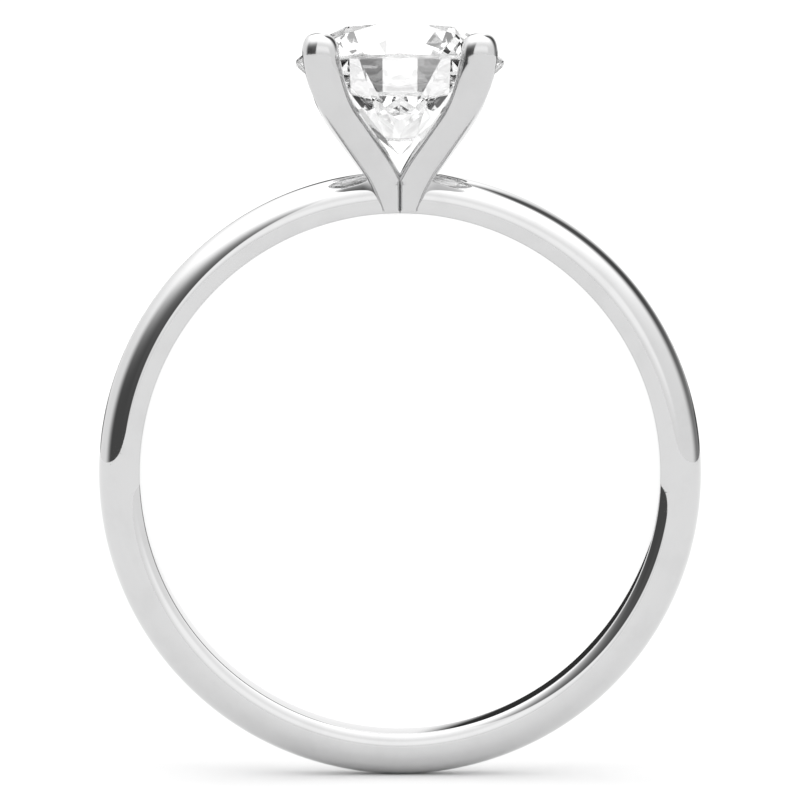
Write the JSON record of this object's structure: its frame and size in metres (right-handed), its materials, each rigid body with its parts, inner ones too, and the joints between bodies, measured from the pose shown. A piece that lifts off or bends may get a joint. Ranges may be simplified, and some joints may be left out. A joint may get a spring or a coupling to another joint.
{
  "type": "engagement ring",
  "caption": "Plain polished solitaire ring: a half-round band, eased inside, with four curved square claws let in at the top to hold a round brilliant stone high above the finger.",
  "frame": {"origin": "centre of the finger bore, halfway along its width", "axes": "+Y along the finger bore, +Z from the finger to the stone, +X across the ring"},
  "size_m": [0.019, 0.0066, 0.0234],
  "materials": {
    "white_metal": "mirror-polished white gold",
    "claw_metal": "mirror-polished white gold, hand-filed tips",
    "diamond": "polished facets, clear and colourless"
  },
  "bodies": {
    "root": {"shank": "white_metal", "claw_front_left": "claw_metal", "claw_front_right": "claw_metal", "claw_rear_left": "claw_metal", "claw_rear_right": "claw_metal", "diamond": "diamond"}
  },
  "joints": []
}
